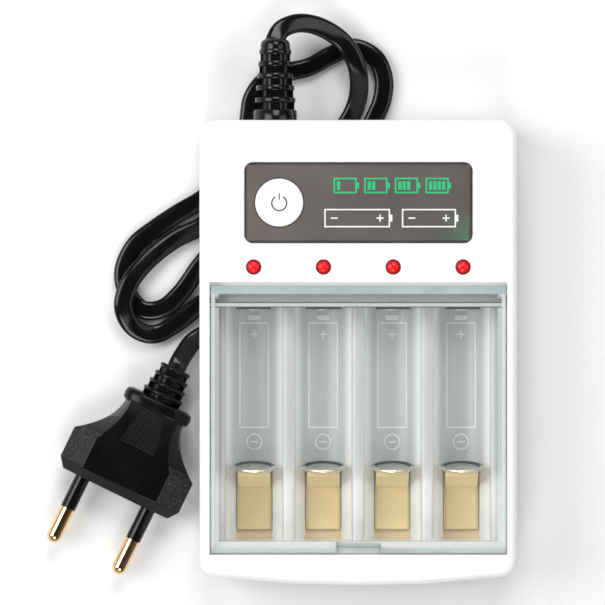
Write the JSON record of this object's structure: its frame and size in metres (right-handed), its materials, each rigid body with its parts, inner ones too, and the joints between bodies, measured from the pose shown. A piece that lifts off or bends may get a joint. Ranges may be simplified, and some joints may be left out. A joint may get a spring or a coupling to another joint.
{
  "type": "battery charger",
  "caption": "Flat mains charger for AA and AAA cells, with troughs and sprung contacts under a hinged clear lid, and a flat cord with a two-pin plug.",
  "frame": {"origin": "middle of the case, on the surface that its feet stand on", "axes": "+Z out of the front face, +Y along the case towards the cord end"},
  "size_m": [0.1225, 0.1485, 0.0309],
  "materials": {
    "case": "satin moulded plastic",
    "clear_lid": "clear moulded plastic",
    "label": "printed film",
    "mark": "smooth",
    "lamp": "tinted lens",
    "nickel": "bright plated",
    "slider": "satin",
    "steel": "drawn",
    "board": "coated",
    "winding": "taped",
    "capacitor": "sleeved",
    "foot": "matte",
    "cord": "smooth",
    "plug": "moulded",
    "pin": "polished"
  },
  "bodies": {
    "case": {"back_cover": "case", "front_shell": "case", "label_plate": "label", "power_mark": "mark", "circuit_board": "board", "transformer": "winding", "filter_capacitor": "capacitor", "case_screws": "steel", "strain_relief": "cord", "cord": "cord", "plug_body": "plug", "lamp_1": "lamp", "lamp_2": "lamp", "lamp_3": "lamp", "lamp_4": "lamp", "positive_contact_1": "nickel", "positive_contact_2": "nickel", "positive_contact_3": "nickel", "positive_contact_4": "nickel", "contact_spring_1": "steel", "contact_spring_2": "steel", "contact_spring_3": "steel", "contact_spring_4": "steel", "foot_1": "foot", "foot_2": "foot", "foot_3": "foot", "foot_4": "foot", "plug_pin_1": "pin", "plug_pin_2": "pin", "pin_sleeve_1": "plug", "pin_sleeve_2": "plug"},
    "lid": {"lid": "clear_lid"},
    "contact_1": {"contact_cap_1": "nickel", "contact_slider_1": "slider"},
    "contact_2": {"contact_cap_2": "nickel", "contact_slider_2": "slider"},
    "contact_3": {"contact_cap_3": "nickel", "contact_slider_3": "slider"},
    "contact_4": {"contact_cap_4": "nickel", "contact_slider_4": "slider"}
  },
  "joints": [
    {"name": "lid_hinge", "type": "hinge", "parent": "case", "child": "lid", "pos_m": [0, 0.01545, 0.0284], "axis": [-1, 0, 0], "range_deg": [0, 100]},
    {"name": "contact_slide_1", "type": "slide", "parent": "case", "child": "contact_1", "axis": [0, -1, 0], "range_m": [0, 0.0105], "stiffness_N_per_m": 150, "springref_m": -0.008, "deforming": ["contact_spring_1"]},
    {"name": "contact_slide_2", "type": "slide", "parent": "case", "child": "contact_2", "axis": [0, -1, 0], "range_m": [0, 0.0105], "stiffness_N_per_m": 150, "springref_m": -0.008, "deforming": ["contact_spring_2"]},
    {"name": "contact_slide_3", "type": "slide", "parent": "case", "child": "contact_3", "axis": [0, -1, 0], "range_m": [0, 0.0105], "stiffness_N_per_m": 150, "springref_m": -0.008, "deforming": ["contact_spring_3"]},
    {"name": "contact_slide_4", "type": "slide", "parent": "case", "child": "contact_4", "axis": [0, -1, 0], "range_m": [0, 0.0105], "stiffness_N_per_m": 150, "springref_m": -0.008, "deforming": ["contact_spring_4"]}
  ]
}
